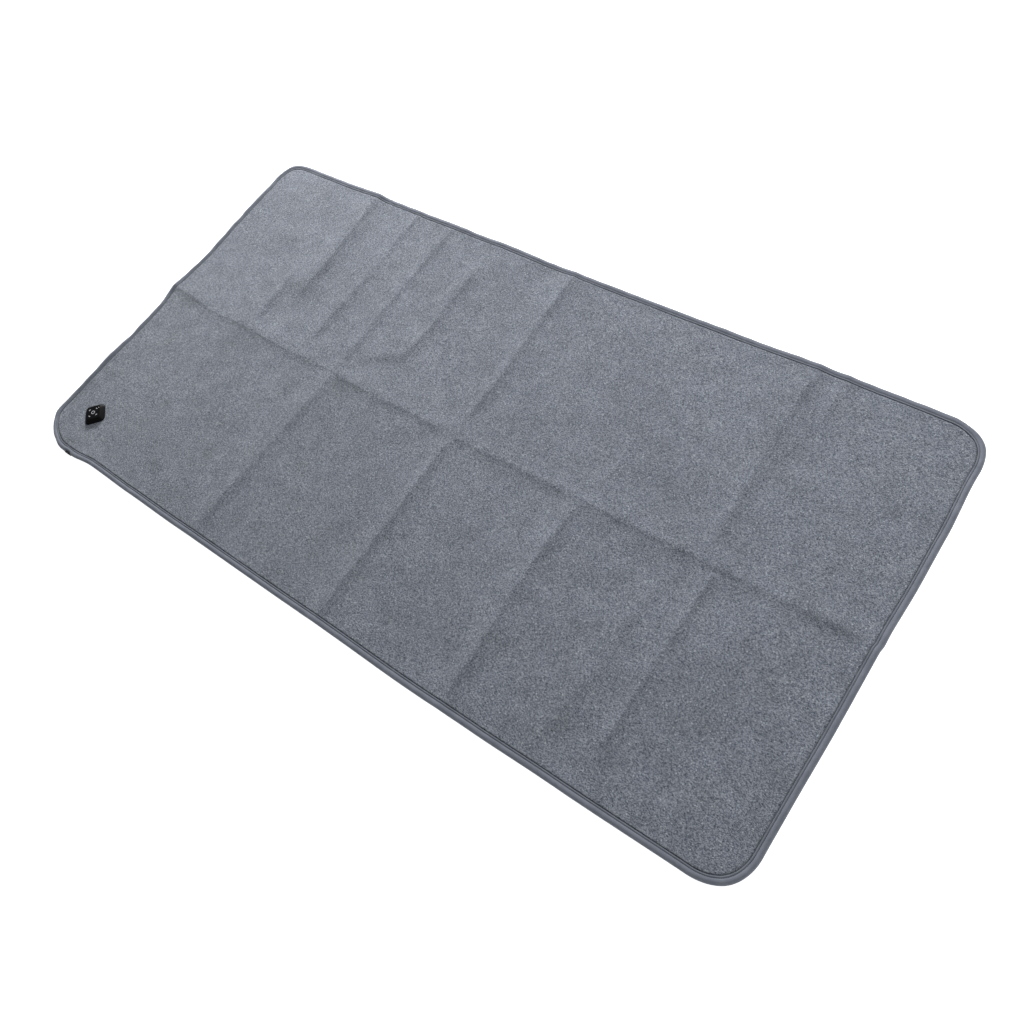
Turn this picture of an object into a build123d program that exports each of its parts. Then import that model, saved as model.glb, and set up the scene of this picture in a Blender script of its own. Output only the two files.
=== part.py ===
from build123d import *
from math import cos, radians, sin, sqrt
import os

# Far-infrared blanket, laid open with its felt face up. X runs along its length, Y across it and Z up,
# and the origin is the middle of its underside. The far half (+Y) folds over the near half (-Y), which
# carries the controller and the power inlet. Every size is in millimetres.

NEAR = -1
FAR = 1
HALVES = {"near": NEAR, "far": FAR}

# ---- Outline ----
blanket_length = 1800
blanket_width = 930
corner_radius = 85
fold_gap = 0.3                  # left between the two halves' layers along the fold

# ---- Layers, from the underside up ----
backing_thick = 1.6
foil_thick = 0.2
wadding_thick = 1.8
carrier_thick = 0.4
film_thick = 0.3
busbar_thick = 0.2
felt_thick = 3.0

foil_bottom = backing_thick
wadding_bottom = foil_bottom + foil_thick
carrier_bottom = wadding_bottom + wadding_thick
film_bottom = carrier_bottom + carrier_thick
busbar_bottom = film_bottom + film_thick
felt_bottom = busbar_bottom + busbar_thick
felt_top = felt_bottom + felt_thick

# ---- Edge binding: tape folded over the layers' rim and sewn down ----
binding_width = 14
tape_thick = 0.8
binding_proud = 0.2             # how far the tape stands above the felt
binding_round = 1.5
binding_top = felt_top + binding_proud
layer_clearance = 0.1
layer_inset = tape_thick + layer_clearance
rebate_inset = binding_width + layer_clearance
seam_inset = 11
seam_width = 0.8
seam_height = 0.2

# ---- Heating panels, one between each pair of cross creases ----
panel_columns = 6
panel_pitch = blanket_length / panel_columns
crease_margin = 30              # bare strip from a panel to a crease
edge_margin = 16                # bare strip from a panel to the binding
busbar_width = 8
ribbon_width = 5
run_margin = 8                  # from the binding to the ribbons that run up the two ends
ribbon_bend = 6

film_width = panel_pitch - 2 * crease_margin
film_inner = crease_margin
film_outer = blanket_width / 2 - binding_width - edge_margin
run_x = blanket_length / 2 - binding_width - run_margin

# ---- Controller: a low puck set cornerwise on the felt ----
controller_from_end = 101
controller_from_edge = 108
controller_turn = 45
controller_side = 47.5
controller_bow = 0.8            # how far each side swells past a straight line
controller_corner = 10
controller_height = 9.5
cover_top_side = 34
cover_top_corner = 7
cover_edge_round = 1.6
cover_wall = 2.2
cover_roof = 1.5
roof_wall = 1.85                # the cover's wall where it meets the roof
base_thick = 1.2
gasket_thick = 0.4
gasket_set_back = 0.9
gasket_width = 1.1
lip_height = 1.5
lip_wall = 1.2
lip_clearance = 1.3
board_side = 31
board_thick = 1.0
board_corner = 2
board_rise = 2.0                # from the base plate to the board
post_radius = 2.2
screw_circle = 13.2
screw_radius = 1.0
screw_head_radius = 1.9
screw_head_height = 0.9
screw_hole_radius = 1.15
screw_pilot_radius = 1.05
screw_tip_gap = 0.9             # from the cover's roof to the screw's tip
clamp_side = 40
clamp_corner = 5
clamp_lift = 0.2                # from the leads to the clamp plate
pocket_clearance = 1.5
panel_clearance = 12            # from the controller's pocket to the panel beside it

controller_x = controller_from_end - blanket_length / 2
controller_y = controller_from_edge - blanket_width / 2
controller_column = int((controller_x + blanket_length / 2) // panel_pitch)
base_top = felt_top + base_thick
cover_bottom = base_top + gasket_thick
cover_top = felt_top + controller_height
roof_bottom = cover_top - cover_roof
board_bottom = base_top + board_rise
board_top = board_bottom + board_thick
pocket_side = clamp_side + 2 * pocket_clearance
pocket_reach = pocket_side / sqrt(2)

# ---- Button, switch and lights ----
button_radius = 7.5
button_clearance = 0.2
button_flange = 0.9             # how far the flange under the roof reaches past the cap
button_flange_thick = 0.9
button_set_down = 0.1           # the cap's top below the cover's
button_travel = 0.4
button_edge_round = 0.4
ring_inner = 3.1
ring_outer = 4.4
ring_depth = 0.8
ring_clearance = 0.05
stem_radius = 1.3
stem_gap = 0.05                 # between the stem and the switch's plunger
switch_side = 6
switch_height = 1.8
plunger_radius = 1.6
plunger_clearance = 0.05
plunger_rise = 0.5
plunger_depth = 0.9             # how far the plunger reaches into the switch
plunger_end_gap = 0.1           # left under the plunger when it is pressed
window_circle = 12.2
window_length = 5
window_width = 1.6
window_drop = 1.3               # how far the windows reach below the roof
window_clearance = 0.05
status_circle = 16.9
status_angle = 36
status_radius = 1.1
led_length = 2
led_width = 1.2
led_height = 0.8
chip_side = 7
chip_height = 1.0
chip_offset = 8
transistor_length = 6
transistor_width = 5

switch_top = board_top + switch_height
plunger_top = switch_top + plunger_rise
button_top = cover_top - button_set_down
flange_top = roof_bottom - button_clearance
flange_bottom = flange_top - button_flange_thick

# ---- Leads, crimps and grommet ----
power_lead_radius = 0.6
sensor_lead_radius = 0.5
lead_lift = 0.1                 # from the foil to the underside of a lead
lead_height = wadding_bottom + power_lead_radius + lead_lift
clamp_bottom = lead_height + power_lead_radius + clamp_lift
clamp_thick = felt_bottom - clamp_bottom
lead_bend = 2.5
lead_slack = 1.2                # a channel's width past its lead's
lead_cover = 0.1                # a channel's height past its lead's
lead_straight = 4               # how far a lead leaves its crimp before it turns
pair_spacing = 2.2
pair_reach = 1.9                # from the controller's middle to where a pair turns up
sensor_spacing = 1.6
sensor_reach = 2.2
grommet_inner = 3.1
grommet_outer = 4.1
grommet_flange = 5.2
grommet_flange_thick = 0.6
grommet_clearance = 0.1
crimp_size = 5
crimp_spacing = 10
crimp_gap = 1                   # from the clamp plate's pocket to the crimps' middles
crimp_y = controller_y + pocket_reach + crimp_gap
film_outer_short = -(controller_y + pocket_reach + panel_clearance)
row_y = (crimp_y + crimp_size / 2 - film_outer_short) / 2

# ---- Power inlet, held in the near edge ----
inlet_from_end = 117
nose_width = 18
nose_depth = 3
inlet_width = 16
inlet_depth = 13
inlet_height = 4.4
inlet_room = 0.2
inlet_lift = 0.1                # from the foil to the housing
approach_run = 34               # from the inlet to where the power leads turn
inlet_bottom = wadding_bottom + inlet_lift
inlet_middle = inlet_bottom + inlet_height / 2
slot_width = 12
slot_height = 3.0
slot_depth = 10
contact_count = 3
contact_pitch = 3.5
contact_width = 1.4
contact_thick = 0.5
contact_length = 6.5

inlet_x = inlet_from_end - blanket_length / 2
inlet_face = -blanket_width / 2
inlet_back = inlet_face + nose_depth + inlet_depth
approach_y = inlet_back + approach_run

# ---- Sensors and thermal cut-outs, in the layers between panels ----
near_sensor_offset = 10         # from the crease beside the controller's panel
far_sensor_offset = 17
crease_x = (controller_column + 1) * panel_pitch - blanket_length / 2
sensor_x = {"near": crease_x + near_sensor_offset, "far": crease_x + far_sensor_offset}
sensor_from_fold = 180
sensor_length = 12
sensor_radius = 1.1
cutout_length = 14
cutout_width = 7
cutout_corner = 1
cutout_x = {"near": -run_x, "far": run_x}
pocket_slack = 0.6

os.makedirs("parts", exist_ok=True)


def save(part, name):
    """Labels a finished piece and writes it to its own STEP file."""
    part.label = name
    export_step(part, f"parts/{name}.step")


def slab(inset, bottom, top, mode=Mode.ADD):
    """Adds or removes the blanket's outline, drawn in by inset, between two heights."""
    with BuildSketch(Plane.XY.offset(bottom)) as outline:
        RectangleRounded(blanket_length - 2 * inset, blanket_width - 2 * inset, corner_radius - inset)
    extrude(outline.sketch, amount=top - bottom, mode=mode)


def block(x, y, bottom, size_x, size_y, height, mode=Mode.ADD):
    """Adds or removes a box that stands on a height, centred on a point of the plan."""
    with Locations((x, y, bottom)):
        Box(size_x, size_y, height, align=(Align.CENTER, Align.CENTER, Align.MIN), mode=mode)


def keep_half(side):
    """Cuts the piece in progress along the fold and keeps one half of it."""
    keep = Keep.TOP if side == NEAR else Keep.BOTTOM
    split(bisect_by=Plane.XZ.offset(-side * fold_gap / 2), keep=keep)


def at_controller(height):
    """The controller's own plane at a height, turned with the puck."""
    turn = radians(controller_turn)
    return Plane(origin=(controller_x, controller_y, height), x_dir=(cos(turn), sin(turn), 0))


def puck_outline(side, corner):
    """A square with slightly swollen sides and round corners, in the sketch in progress."""
    half = side / 2
    swell = half + controller_bow
    with BuildLine() as sides:
        ThreePointArc((-half, -half), (0, -swell), (half, -half))
        ThreePointArc((half, -half), (swell, 0), (half, half))
        ThreePointArc((half, half), (0, swell), (-half, half))
        ThreePointArc((-half, half), (-swell, 0), (-half, -half))
    outline = make_face(sides.edges())
    fillet(outline.vertices(), corner)


def puck_loft(bottom, bottom_side, top, top_side, wall=0.0, mode=Mode.ADD):
    """Adds or removes a tapered puck between two heights, its corners drawn in by a wall."""
    with BuildSketch(at_controller(bottom)) as lower:
        puck_outline(bottom_side, controller_corner - wall)
    with BuildSketch(at_controller(top)) as upper:
        puck_outline(top_side, cover_top_corner - wall)
    loft([lower.sketch, upper.sketch], mode=mode)


def screw_places():
    """The four screws, one at the middle of each of the puck's sides."""
    return PolarLocations(screw_circle, 4)


def route(points, bend):
    """A line through the points with its corners rounded."""
    if len(points) > 2:
        FilletPolyline(*points, radius=bend)
    else:
        Line(*points)


def ribbon(points):
    """A flat copper ribbon in the panels' layer."""
    with BuildSketch(Plane.XY.offset(film_bottom)) as strip:
        with BuildLine():
            route(points, ribbon_bend)
        trace(line_width=ribbon_width)
    extrude(strip.sketch, amount=felt_bottom - film_bottom)


def channel(points, radius):
    """Hollows the wadding's underside along a lead's route."""
    with BuildSketch(Plane.XY.offset(wadding_bottom)) as strip:
        with BuildLine():
            route(points, lead_bend)
        trace(line_width=2 * radius + lead_slack)
    depth = lead_height + radius + lead_cover - wadding_bottom
    extrude(strip.sketch, amount=depth, mode=Mode.SUBTRACT)


def lead(points, radius, rises=False):
    """A round lead laid in the wadding, which may turn up at its last point to the controller's board."""
    stops = [(x, y, lead_height) for x, y in points]
    if rises:
        stops.append((*points[-1], board_bottom))
    with BuildLine() as line:
        route(stops, lead_bend)
    with BuildSketch(Plane(origin=line.line @ 0, z_dir=line.line % 0)) as section:
        Circle(radius)
    sweep(section.sketch, path=line.line)


def film_end(side, column):
    """How far from the fold a panel reaches: the one beside the controller stops short of it."""
    return film_outer_short if (side, column) == (NEAR, controller_column) else film_outer


def column_x(column):
    """The middle of a column of panels."""
    return (column + 0.5) * panel_pitch - blanket_length / 2


def cut_inlet_room():
    """Clears the layers for the inlet's nose and body."""
    nose_y = inlet_face + nose_depth / 2
    block(inlet_x, nose_y, tape_thick, nose_width + 2 * inlet_room, nose_depth + 2 * inlet_room,
          binding_top - tape_thick, Mode.SUBTRACT)
    body_y = inlet_back - inlet_depth / 2
    block(inlet_x, body_y, wadding_bottom, inlet_width + 2 * inlet_room, inlet_depth + 2 * inlet_room,
          inlet_bottom + inlet_height + inlet_room - wadding_bottom, Mode.SUBTRACT)


def cut_controller_pocket():
    """Clears the wadding and the carrier under the controller for its clamp plate and crimps."""
    with BuildSketch(at_controller(wadding_bottom)) as pocket:
        Rectangle(pocket_side, pocket_side)
    extrude(pocket.sketch, amount=felt_bottom - wadding_bottom, mode=Mode.SUBTRACT)
    block(controller_x, crimp_y, wadding_bottom, crimp_spacing + crimp_size + 2 * pocket_slack,
          crimp_size + 2 * pocket_slack, felt_bottom - wadding_bottom, Mode.SUBTRACT)


def cut_sensor_pockets(half, side):
    """Clears the wadding and the carrier round a half's sensor and thermal cut-out."""
    height = film_bottom - wadding_bottom
    y = side * sensor_from_fold
    block(sensor_x[half], y, wadding_bottom, 2 * sensor_radius + pocket_slack,
          sensor_length + pocket_slack, height, Mode.SUBTRACT)
    block(cutout_x[half], y, wadding_bottom, cutout_width + pocket_slack,
          cutout_length + pocket_slack, height, Mode.SUBTRACT)


# ---- Lead routes, seen from above ----
power_routes = [
    [
        (inlet_x + offset, inlet_back),
        (inlet_x + offset, approach_y),
        (controller_x + offset, approach_y + abs(inlet_x - controller_x)),
        (controller_x + offset, controller_y - pair_reach),
    ]
    for offset in (-pair_spacing / 2, pair_spacing / 2)
]
output_routes = [
    [
        (controller_x + sign * crimp_spacing / 2, crimp_y - crimp_size / 2),
        (controller_x + sign * crimp_spacing / 2, crimp_y - crimp_size / 2 - lead_straight),
        (controller_x + sign * pair_spacing / 2, controller_y + pair_reach),
    ]
    for sign in (-1, 1)
]
sensor_turn = controller_x + sensor_reach
near_sensor_route = [
    (sensor_x["near"], -sensor_from_fold - sensor_length / 2),
    (sensor_x["near"], controller_y + sensor_spacing / 2),
    (sensor_turn, controller_y + sensor_spacing / 2),
]
far_sensor_near_route = [
    (sensor_x["far"], -fold_gap / 2),
    (sensor_x["far"], controller_y - sensor_spacing / 2),
    (sensor_turn, controller_y - sensor_spacing / 2),
]
far_sensor_route = [
    (sensor_x["far"], sensor_from_fold - sensor_length / 2),
    (sensor_x["far"], fold_gap / 2),
]

# ---- Soft layers and heating panels of each half ----
for half, side in HALVES.items():
    with BuildPart() as backing_cloth:
        slab(layer_inset, 0, backing_thick)
        with BuildSketch(Plane.XY):
            Rectangle(blanket_length, blanket_width)
            RectangleRounded(blanket_length - 2 * rebate_inset, blanket_width - 2 * rebate_inset,
                             corner_radius - rebate_inset, mode=Mode.SUBTRACT)
        extrude(amount=tape_thick, mode=Mode.SUBTRACT)
        keep_half(side)
        if side == NEAR:
            cut_inlet_room()
    save(backing_cloth.part, f"backing_cloth_{half}")

    with BuildPart() as reflective_foil:
        slab(layer_inset, foil_bottom, wadding_bottom)
        keep_half(side)
        if side == NEAR:
            cut_inlet_room()
    save(reflective_foil.part, f"reflective_foil_{half}")

    with BuildPart() as wadding:
        slab(layer_inset, wadding_bottom, carrier_bottom)
        keep_half(side)
        cut_sensor_pockets(half, side)
        if side == NEAR:
            cut_inlet_room()
            cut_controller_pocket()
            for points in power_routes + output_routes:
                channel(points, power_lead_radius)
            channel(near_sensor_route, sensor_lead_radius)
            channel(far_sensor_near_route, sensor_lead_radius)
        else:
            channel(far_sensor_route, sensor_lead_radius)
    save(wadding.part, f"wadding_{half}")

    with BuildPart() as heater_carrier:
        slab(layer_inset, carrier_bottom, film_bottom)
        keep_half(side)
        cut_sensor_pockets(half, side)
        if side == NEAR:
            cut_inlet_room()
            cut_controller_pocket()
    save(heater_carrier.part, f"heater_carrier_{half}")

    with BuildPart() as felt_face:
        slab(layer_inset, felt_bottom, felt_top)
        with BuildSketch(Plane.XY.offset(binding_top - tape_thick)):
            Rectangle(blanket_length, blanket_width)
            RectangleRounded(blanket_length - 2 * rebate_inset, blanket_width - 2 * rebate_inset,
                             corner_radius - rebate_inset, mode=Mode.SUBTRACT)
        extrude(amount=tape_thick, mode=Mode.SUBTRACT)
        keep_half(side)
        if side == NEAR:
            cut_inlet_room()
            with BuildSketch(at_controller(felt_bottom)):
                Circle(grommet_outer + grommet_clearance)
                with screw_places():
                    Circle(screw_hole_radius)
            extrude(amount=felt_thick, mode=Mode.SUBTRACT)
    save(felt_face.part, f"felt_face_{half}")

    with BuildPart() as edge_binding:
        slab(0, 0, binding_top)
        outer_rims = edges().group_by(Axis.Z)
        fillet(outer_rims[0] + outer_rims[-1], binding_round)
        slab(tape_thick, tape_thick, binding_top - tape_thick, Mode.SUBTRACT)
        slab(binding_width, 0, binding_top, Mode.SUBTRACT)
        keep_half(side)
        if side == NEAR:
            block(inlet_x, inlet_face, tape_thick, nose_width + 2 * inlet_room,
                  2 * (nose_depth + inlet_room), binding_top, Mode.SUBTRACT)
    save(edge_binding.part, f"edge_binding_{half}")

    with BuildPart() as binding_seam:
        slab(seam_inset, binding_top, binding_top + seam_height)
        slab(seam_inset + seam_width, binding_top, binding_top + seam_height, Mode.SUBTRACT)
        keep_half(side)
    save(binding_seam.part, f"binding_seam_{half}")

    with BuildPart() as carbon_film:
        for column in range(panel_columns):
            outer = film_end(side, column)
            block(column_x(column), side * (film_inner + outer) / 2, film_bottom,
                  film_width, outer - film_inner, film_thick)
    save(carbon_film.part, f"carbon_film_{half}")

    with BuildPart() as busbars:
        for column in range(panel_columns):
            for place in (film_inner + busbar_width / 2, film_end(side, column) - busbar_width / 2):
                block(column_x(column), side * place, busbar_bottom, film_width, busbar_width, busbar_thick)
    save(busbars.part, f"busbars_{half}")

    with BuildPart() as link_braids:
        for column in range(panel_columns - 1):
            x = column_x(column) + panel_pitch / 2
            rows = [film_inner]
            if film_end(side, column) == film_end(side, column + 1):
                rows.append(film_outer - busbar_width)
            for row in rows:
                block(x, side * (row + busbar_width / 2), film_bottom,
                      2 * crease_margin, ribbon_width, felt_bottom - film_bottom)
    save(link_braids.part, f"link_braids_{half}")

    with BuildPart() as thermal_cutout:
        block(cutout_x[half], side * sensor_from_fold, wadding_bottom,
              cutout_width, cutout_length, film_bottom - wadding_bottom)
        fillet(edges().filter_by(Axis.Z), cutout_corner)
    save(thermal_cutout.part, f"thermal_cutout_{half}")

    with BuildPart() as temperature_sensor:
        middle = (sensor_x[half], side * sensor_from_fold, wadding_bottom + sensor_radius)
        with Locations(Location(middle, (90, 0, 0))):
            Cylinder(sensor_radius, sensor_length)
    save(temperature_sensor.part, f"temperature_sensor_{half}")

# ---- Ribbons that feed the outer busbars and return from the inner ones ----
inner_row = film_inner + busbar_width / 2
outer_row = film_outer - busbar_width / 2
panel_end = blanket_length / 2 - crease_margin
first_outer_x = crease_x + crease_margin

with BuildPart() as feed_ribbon_near:
    ribbon([(controller_x + crimp_spacing / 2, crimp_y - crimp_size / 2),
            (controller_x + crimp_spacing / 2, -film_outer_short)])
    ribbon([(controller_x + crimp_spacing / 2, row_y), (crease_x, row_y),
            (crease_x, -outer_row), (first_outer_x, -outer_row)])
    ribbon([(panel_end, -outer_row), (run_x, -outer_row), (run_x, -fold_gap / 2)])
save(feed_ribbon_near.part, "feed_ribbon_near")

with BuildPart() as feed_ribbon_far:
    ribbon([(run_x, fold_gap / 2), (run_x, outer_row), (panel_end, outer_row)])
save(feed_ribbon_far.part, "feed_ribbon_far")

with BuildPart() as return_ribbon_near:
    ribbon([(controller_x - crimp_spacing / 2, crimp_y - crimp_size / 2),
            (controller_x - crimp_spacing / 2, row_y), (-run_x, row_y),
            (-run_x, -inner_row), (-panel_end, -inner_row)])
    ribbon([(crease_x, -(inner_row - ribbon_width / 2)), (crease_x, -fold_gap / 2)])
save(return_ribbon_near.part, "return_ribbon_near")

with BuildPart() as return_ribbon_far:
    ribbon([(crease_x, fold_gap / 2), (crease_x, inner_row - ribbon_width / 2)])
save(return_ribbon_far.part, "return_ribbon_far")

# ---- Leads ----
with BuildPart() as power_leads:
    for points in power_routes:
        lead(points, power_lead_radius, rises=True)
save(power_leads.part, "power_leads")

with BuildPart() as output_leads:
    for points in output_routes:
        lead(points, power_lead_radius, rises=True)
save(output_leads.part, "output_leads")

with BuildPart() as output_crimps:
    for sign in (-1, 1):
        block(controller_x + sign * crimp_spacing / 2, crimp_y, wadding_bottom,
              crimp_size, crimp_size, film_bottom - wadding_bottom)
save(output_crimps.part, "output_crimps")

with BuildPart() as sensor_leads_near:
    lead(near_sensor_route, sensor_lead_radius, rises=True)
    lead(far_sensor_near_route, sensor_lead_radius, rises=True)
save(sensor_leads_near.part, "sensor_leads_near")

with BuildPart() as sensor_lead_far:
    lead(far_sensor_route, sensor_lead_radius)
save(sensor_lead_far.part, "sensor_lead_far")

# ---- Power inlet ----
with BuildPart() as inlet_housing:
    block(inlet_x, inlet_back - inlet_depth / 2, inlet_bottom, inlet_width, inlet_depth, inlet_height)
    nose_height = binding_top - 2 * tape_thick
    block(inlet_x, inlet_face + nose_depth / 2, tape_thick, nose_width, nose_depth, nose_height)
    with BuildSketch(Plane.XZ.offset(-inlet_face)):
        with Locations((inlet_x, inlet_middle)):
            SlotOverall(slot_width, slot_height)
    extrude(amount=-slot_depth, mode=Mode.SUBTRACT)
save(inlet_housing.part, "inlet_housing")

with BuildPart() as inlet_contacts:
    for number in range(contact_count):
        x = inlet_x + (number - (contact_count - 1) / 2) * contact_pitch
        block(x, inlet_face + slot_depth - contact_length / 2, inlet_middle - contact_thick / 2,
              contact_width, contact_length, contact_thick)
save(inlet_contacts.part, "inlet_contacts")

# ---- Controller case ----
taper = (controller_side - cover_top_side) / (cover_top - cover_bottom)
roof_side = cover_top_side + taper * cover_roof - 2 * roof_wall

with BuildPart() as controller_base:
    with BuildSketch(at_controller(felt_top)):
        puck_outline(controller_side, controller_corner)
    extrude(amount=base_thick)
    with BuildSketch(at_controller(base_top)):
        lip_side = controller_side - 2 * (cover_wall + lip_clearance)
        RectangleRounded(lip_side, lip_side, controller_corner - cover_wall)
        RectangleRounded(lip_side - 2 * lip_wall, lip_side - 2 * lip_wall,
                         controller_corner - cover_wall - lip_wall, mode=Mode.SUBTRACT)
    extrude(amount=lip_height)
    with BuildSketch(at_controller(base_top)):
        with screw_places():
            Circle(post_radius)
    extrude(amount=board_rise)
    with BuildSketch(at_controller(felt_top)):
        Circle(grommet_outer + grommet_clearance)
        with screw_places():
            Circle(screw_hole_radius)
    extrude(amount=base_thick + board_rise, mode=Mode.SUBTRACT)
save(controller_base.part, "controller_base")

with BuildPart() as cover_gasket:
    with BuildSketch(at_controller(base_top)):
        puck_outline(controller_side - 2 * gasket_set_back, controller_corner - gasket_set_back)
    extrude(amount=gasket_thick)
    gasket_inner = controller_side - 2 * (gasket_set_back + gasket_width)
    with BuildSketch(at_controller(base_top)):
        puck_outline(gasket_inner, controller_corner - gasket_set_back - gasket_width)
    extrude(amount=gasket_thick, mode=Mode.SUBTRACT)
save(cover_gasket.part, "cover_gasket")

with BuildPart() as controller_cover:
    puck_loft(cover_bottom, controller_side, cover_top, cover_top_side)
    fillet(edges().group_by(Axis.Z)[-1], cover_edge_round)
    puck_loft(cover_bottom, controller_side - 2 * cover_wall, roof_bottom, roof_side, cover_wall,
              Mode.SUBTRACT)
    with BuildSketch(at_controller(board_top)):
        with screw_places():
            Circle(post_radius)
            Circle(screw_pilot_radius, mode=Mode.SUBTRACT)
    extrude(amount=roof_bottom - board_top)
    with BuildSketch(at_controller(roof_bottom)):
        Circle(button_radius + button_clearance)
        with PolarLocations(window_circle, 4, start_angle=controller_turn):
            SlotOverall(window_length + 2 * window_clearance, window_width + 2 * window_clearance,
                        rotation=90)
        with PolarLocations(status_circle, 1, start_angle=status_angle):
            Circle(status_radius + window_clearance)
    extrude(amount=cover_roof, mode=Mode.SUBTRACT)
save(controller_cover.part, "controller_cover")

with BuildPart() as level_windows:
    with BuildSketch(at_controller(roof_bottom - window_drop)):
        with PolarLocations(window_circle, 4, start_angle=controller_turn):
            SlotOverall(window_length, window_width, rotation=90)
    extrude(amount=window_drop + cover_roof)
save(level_windows.part, "level_windows")

with BuildPart() as status_window:
    with BuildSketch(at_controller(roof_bottom - window_drop)):
        with PolarLocations(status_circle, 1, start_angle=status_angle):
            Circle(status_radius)
    extrude(amount=window_drop + cover_roof)
save(status_window.part, "status_window")

# ---- What holds the controller to the felt ----
with BuildPart() as clamp_plate:
    with BuildSketch(at_controller(clamp_bottom)):
        RectangleRounded(clamp_side, clamp_side, clamp_corner)
        Circle(grommet_outer + grommet_clearance, mode=Mode.SUBTRACT)
        with screw_places():
            Circle(screw_hole_radius, mode=Mode.SUBTRACT)
    extrude(amount=clamp_thick)
save(clamp_plate.part, "clamp_plate")

with BuildPart() as clamp_screws:
    with BuildSketch(at_controller(clamp_bottom)):
        with screw_places():
            Circle(screw_head_radius)
    extrude(amount=-screw_head_height)
    with BuildSketch(at_controller(clamp_bottom)):
        with screw_places():
            Circle(screw_radius)
    extrude(amount=roof_bottom - screw_tip_gap - clamp_bottom)
save(clamp_screws.part, "clamp_screws")

with BuildPart() as lead_grommet:
    with BuildSketch(at_controller(felt_bottom)):
        Circle(grommet_outer)
    extrude(amount=base_top - felt_bottom)
    with BuildSketch(at_controller(base_top)):
        Circle(grommet_flange)
    extrude(amount=grommet_flange_thick)
    with BuildSketch(at_controller(felt_bottom)):
        Circle(grommet_inner)
    extrude(amount=base_top + grommet_flange_thick - felt_bottom, mode=Mode.SUBTRACT)
save(lead_grommet.part, "lead_grommet")

# ---- Electronics ----
with BuildPart() as circuit_board:
    with BuildSketch(at_controller(board_bottom)):
        RectangleRounded(board_side, board_side, board_corner)
        with screw_places():
            Circle(screw_hole_radius, mode=Mode.SUBTRACT)
    extrude(amount=board_thick)
save(circuit_board.part, "circuit_board")

with BuildPart() as control_chip:
    with BuildSketch(at_controller(board_bottom)):
        with Locations((chip_offset, chip_offset)):
            Rectangle(chip_side, chip_side)
    extrude(amount=-chip_height)
save(control_chip.part, "control_chip")

with BuildPart() as power_transistors:
    with BuildSketch(at_controller(board_bottom)):
        with Locations((-chip_offset, -chip_offset), (-chip_offset, chip_offset)):
            Rectangle(transistor_width, transistor_length)
    extrude(amount=-chip_height)
save(power_transistors.part, "power_transistors")

with BuildPart() as indicator_leds:
    with BuildSketch(at_controller(board_top)):
        with PolarLocations(window_circle, 4, start_angle=controller_turn):
            Rectangle(led_width, led_length)
        with PolarLocations(status_circle, 1, start_angle=status_angle):
            Rectangle(led_width, led_length)
    extrude(amount=led_height)
save(indicator_leds.part, "indicator_leds")

with BuildPart() as switch_body:
    with BuildSketch(at_controller(board_top)):
        Rectangle(switch_side, switch_side)
    extrude(amount=switch_height)
    bore_bottom = switch_top - plunger_depth - button_travel - plunger_end_gap
    with BuildSketch(at_controller(bore_bottom)):
        Circle(plunger_radius + plunger_clearance)
    extrude(amount=switch_top - bore_bottom, mode=Mode.SUBTRACT)
save(switch_body.part, "switch_body")

with BuildPart() as switch_plunger:
    with BuildSketch(at_controller(switch_top - plunger_depth)):
        Circle(plunger_radius)
    extrude(amount=plunger_depth + plunger_rise)
save(switch_plunger.part, "switch_plunger")

# ---- Button ----
with BuildPart() as control_button:
    with BuildSketch(at_controller(flange_bottom)):
        Circle(button_radius + button_flange)
    extrude(amount=button_flange_thick)
    with BuildSketch(at_controller(flange_top)):
        Circle(button_radius)
    extrude(amount=button_top - flange_top)
    fillet(edges().group_by(Axis.Z)[-1], button_edge_round)
    with BuildSketch(at_controller(plunger_top + stem_gap)):
        Circle(stem_radius)
    extrude(amount=flange_bottom - plunger_top - stem_gap)
    with BuildSketch(at_controller(button_top - ring_depth)):
        Circle(ring_outer + ring_clearance)
        Circle(ring_inner - ring_clearance, mode=Mode.SUBTRACT)
    extrude(amount=ring_depth, mode=Mode.SUBTRACT)
save(control_button.part, "control_button")

with BuildPart() as button_light_ring:
    with BuildSketch(at_controller(button_top - ring_depth)):
        Circle(ring_outer)
        Circle(ring_inner, mode=Mode.SUBTRACT)
    extrude(amount=ring_depth)
save(button_light_ring.part, "button_light_ring")
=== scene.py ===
from math import cos, pi, radians, sin

import bmesh
import bpy
import numpy as np
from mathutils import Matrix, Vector
from mathutils.bvhtree import BVHTree


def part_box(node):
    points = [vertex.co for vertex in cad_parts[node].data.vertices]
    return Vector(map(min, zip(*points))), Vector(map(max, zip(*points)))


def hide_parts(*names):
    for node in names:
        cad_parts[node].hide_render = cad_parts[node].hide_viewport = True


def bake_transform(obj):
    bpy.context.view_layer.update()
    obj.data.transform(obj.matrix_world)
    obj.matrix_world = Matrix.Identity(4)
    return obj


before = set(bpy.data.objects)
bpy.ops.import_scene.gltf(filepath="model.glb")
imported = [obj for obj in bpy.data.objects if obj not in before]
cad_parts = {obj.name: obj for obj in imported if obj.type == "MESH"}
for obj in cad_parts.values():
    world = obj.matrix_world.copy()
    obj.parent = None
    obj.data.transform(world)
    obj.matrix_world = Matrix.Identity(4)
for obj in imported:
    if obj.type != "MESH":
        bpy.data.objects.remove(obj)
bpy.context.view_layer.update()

# A far-infrared heating blanket laid open: a felt pad with wadding in it, a backing cloth, an edge
# binding sewn down all the way round, a puck controller and a power inlet. Everything is in metres.

MM = 0.001

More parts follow.
